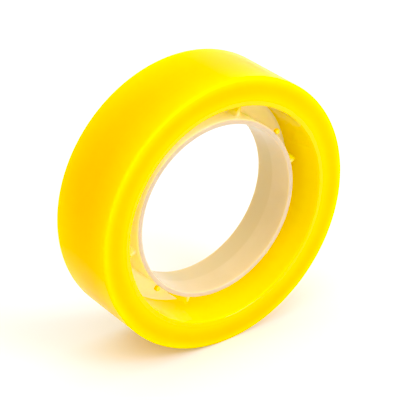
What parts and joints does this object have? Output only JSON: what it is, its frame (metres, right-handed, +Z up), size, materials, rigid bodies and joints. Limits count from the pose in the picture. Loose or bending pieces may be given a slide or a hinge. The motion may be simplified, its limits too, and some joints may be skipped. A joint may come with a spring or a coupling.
{
  "type": "roll of film tape",
  "caption": "Round roll of narrow yellow self-adhesive film tape, wound on a two-wall moulded core with an open bore, with a free end that peels.",
  "frame": {"origin": "centre of the core's bore, at the middle of the tape's width", "axes": "+Y along the roll's axis, square to both side faces; +Z up with the roll standing on its tread"},
  "size_m": [0.041, 0.012, 0.041],
  "materials": {
    "core_plastic": "natural, slightly translucent moulded polypropylene",
    "tape_film": "glossy, translucent polypropylene film"
  },
  "bodies": {
    "roll": {"core": "core_plastic", "tape_winding": "tape_film"},
    "free_end": {"tape_free_end": "tape_film"}
  },
  "joints": [
    {"name": "peel", "type": "hinge", "parent": "roll", "child": "free_end", "pos_m": [0.0145, 0, 0.0145], "axis": [0, -1, 0], "range_deg": [0, 110]}
  ]
}
